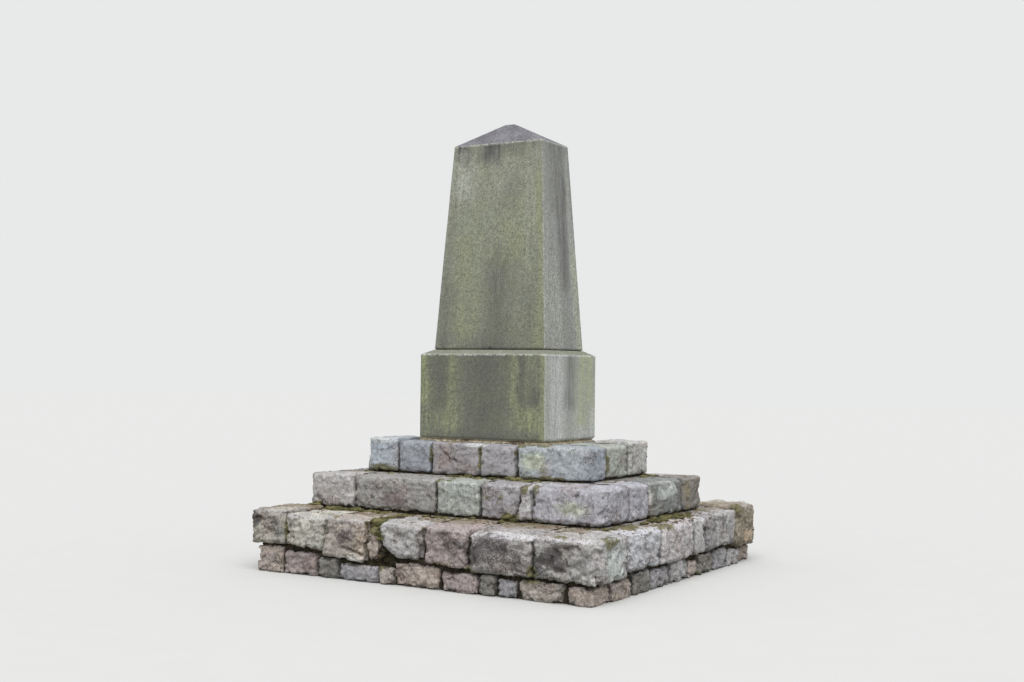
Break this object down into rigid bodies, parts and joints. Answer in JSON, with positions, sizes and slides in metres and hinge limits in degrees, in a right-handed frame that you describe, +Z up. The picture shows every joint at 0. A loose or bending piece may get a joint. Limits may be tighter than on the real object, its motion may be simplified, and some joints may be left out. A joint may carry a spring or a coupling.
{
  "type": "stone obelisk on a stepped base",
  "caption": "Tapered stone shaft with a low pyramid top, on a weathered plinth block and stepped courses of rough pitched-face blocks over a rubble footing.",
  "frame": {"origin": "middle of the base at the lowest ground it meets", "axes": "+Z up along the shaft, the wide front of the shaft and plinth faces -Y"},
  "size_m": [3.2, 3.08, 3.745],
  "materials": {
    "shaft_stone": "fine-grained stone, weathered, with green algae and dark stains",
    "plinth_stone": "fine-grained stone, weathered, with green algae and dark streaks",
    "upper_stone": "rough pitched face with lichen",
    "middle_stone": "rough pitched face with lichen and moss",
    "lower_stone": "rough pitched face, sooty, with lichen and moss",
    "footing_stone": "rubble, damp and mossy",
    "mortar": "crumbled lime mortar with moss"
  },
  "bodies": {
    "root": {"footing_back": "footing_stone", "footing_front": "footing_stone", "footing_hearting": "mortar", "footing_left": "footing_stone", "footing_right": "footing_stone", "lower_corner_back_left": "lower_stone", "lower_corner_back_right": "lower_stone", "lower_corner_front_left": "lower_stone", "lower_corner_front_right": "lower_stone", "lower_hearting": "mortar", "lower_step_back": "lower_stone", "lower_step_front": "lower_stone", "lower_step_left": "lower_stone", "lower_step_right": "lower_stone", "middle_corner_back_left": "middle_stone", "middle_corner_back_right": "middle_stone", "middle_corner_front_left": "middle_stone", "middle_corner_front_right": "middle_stone", "middle_hearting": "mortar", "middle_step_back": "middle_stone", "middle_step_front": "middle_stone", "middle_step_left": "middle_stone", "middle_step_right": "middle_stone", "plinth": "plinth_stone", "plinth_bed": "mortar", "shaft": "shaft_stone", "shaft_bed": "mortar", "upper_corner_back_left": "upper_stone", "upper_corner_back_right": "upper_stone", "upper_corner_front_left": "upper_stone", "upper_corner_front_right": "upper_stone", "upper_hearting": "mortar", "upper_step_back": "upper_stone", "upper_step_front": "upper_stone", "upper_step_left": "upper_stone", "upper_step_right": "upper_stone"}
  },
  "joints": []
}
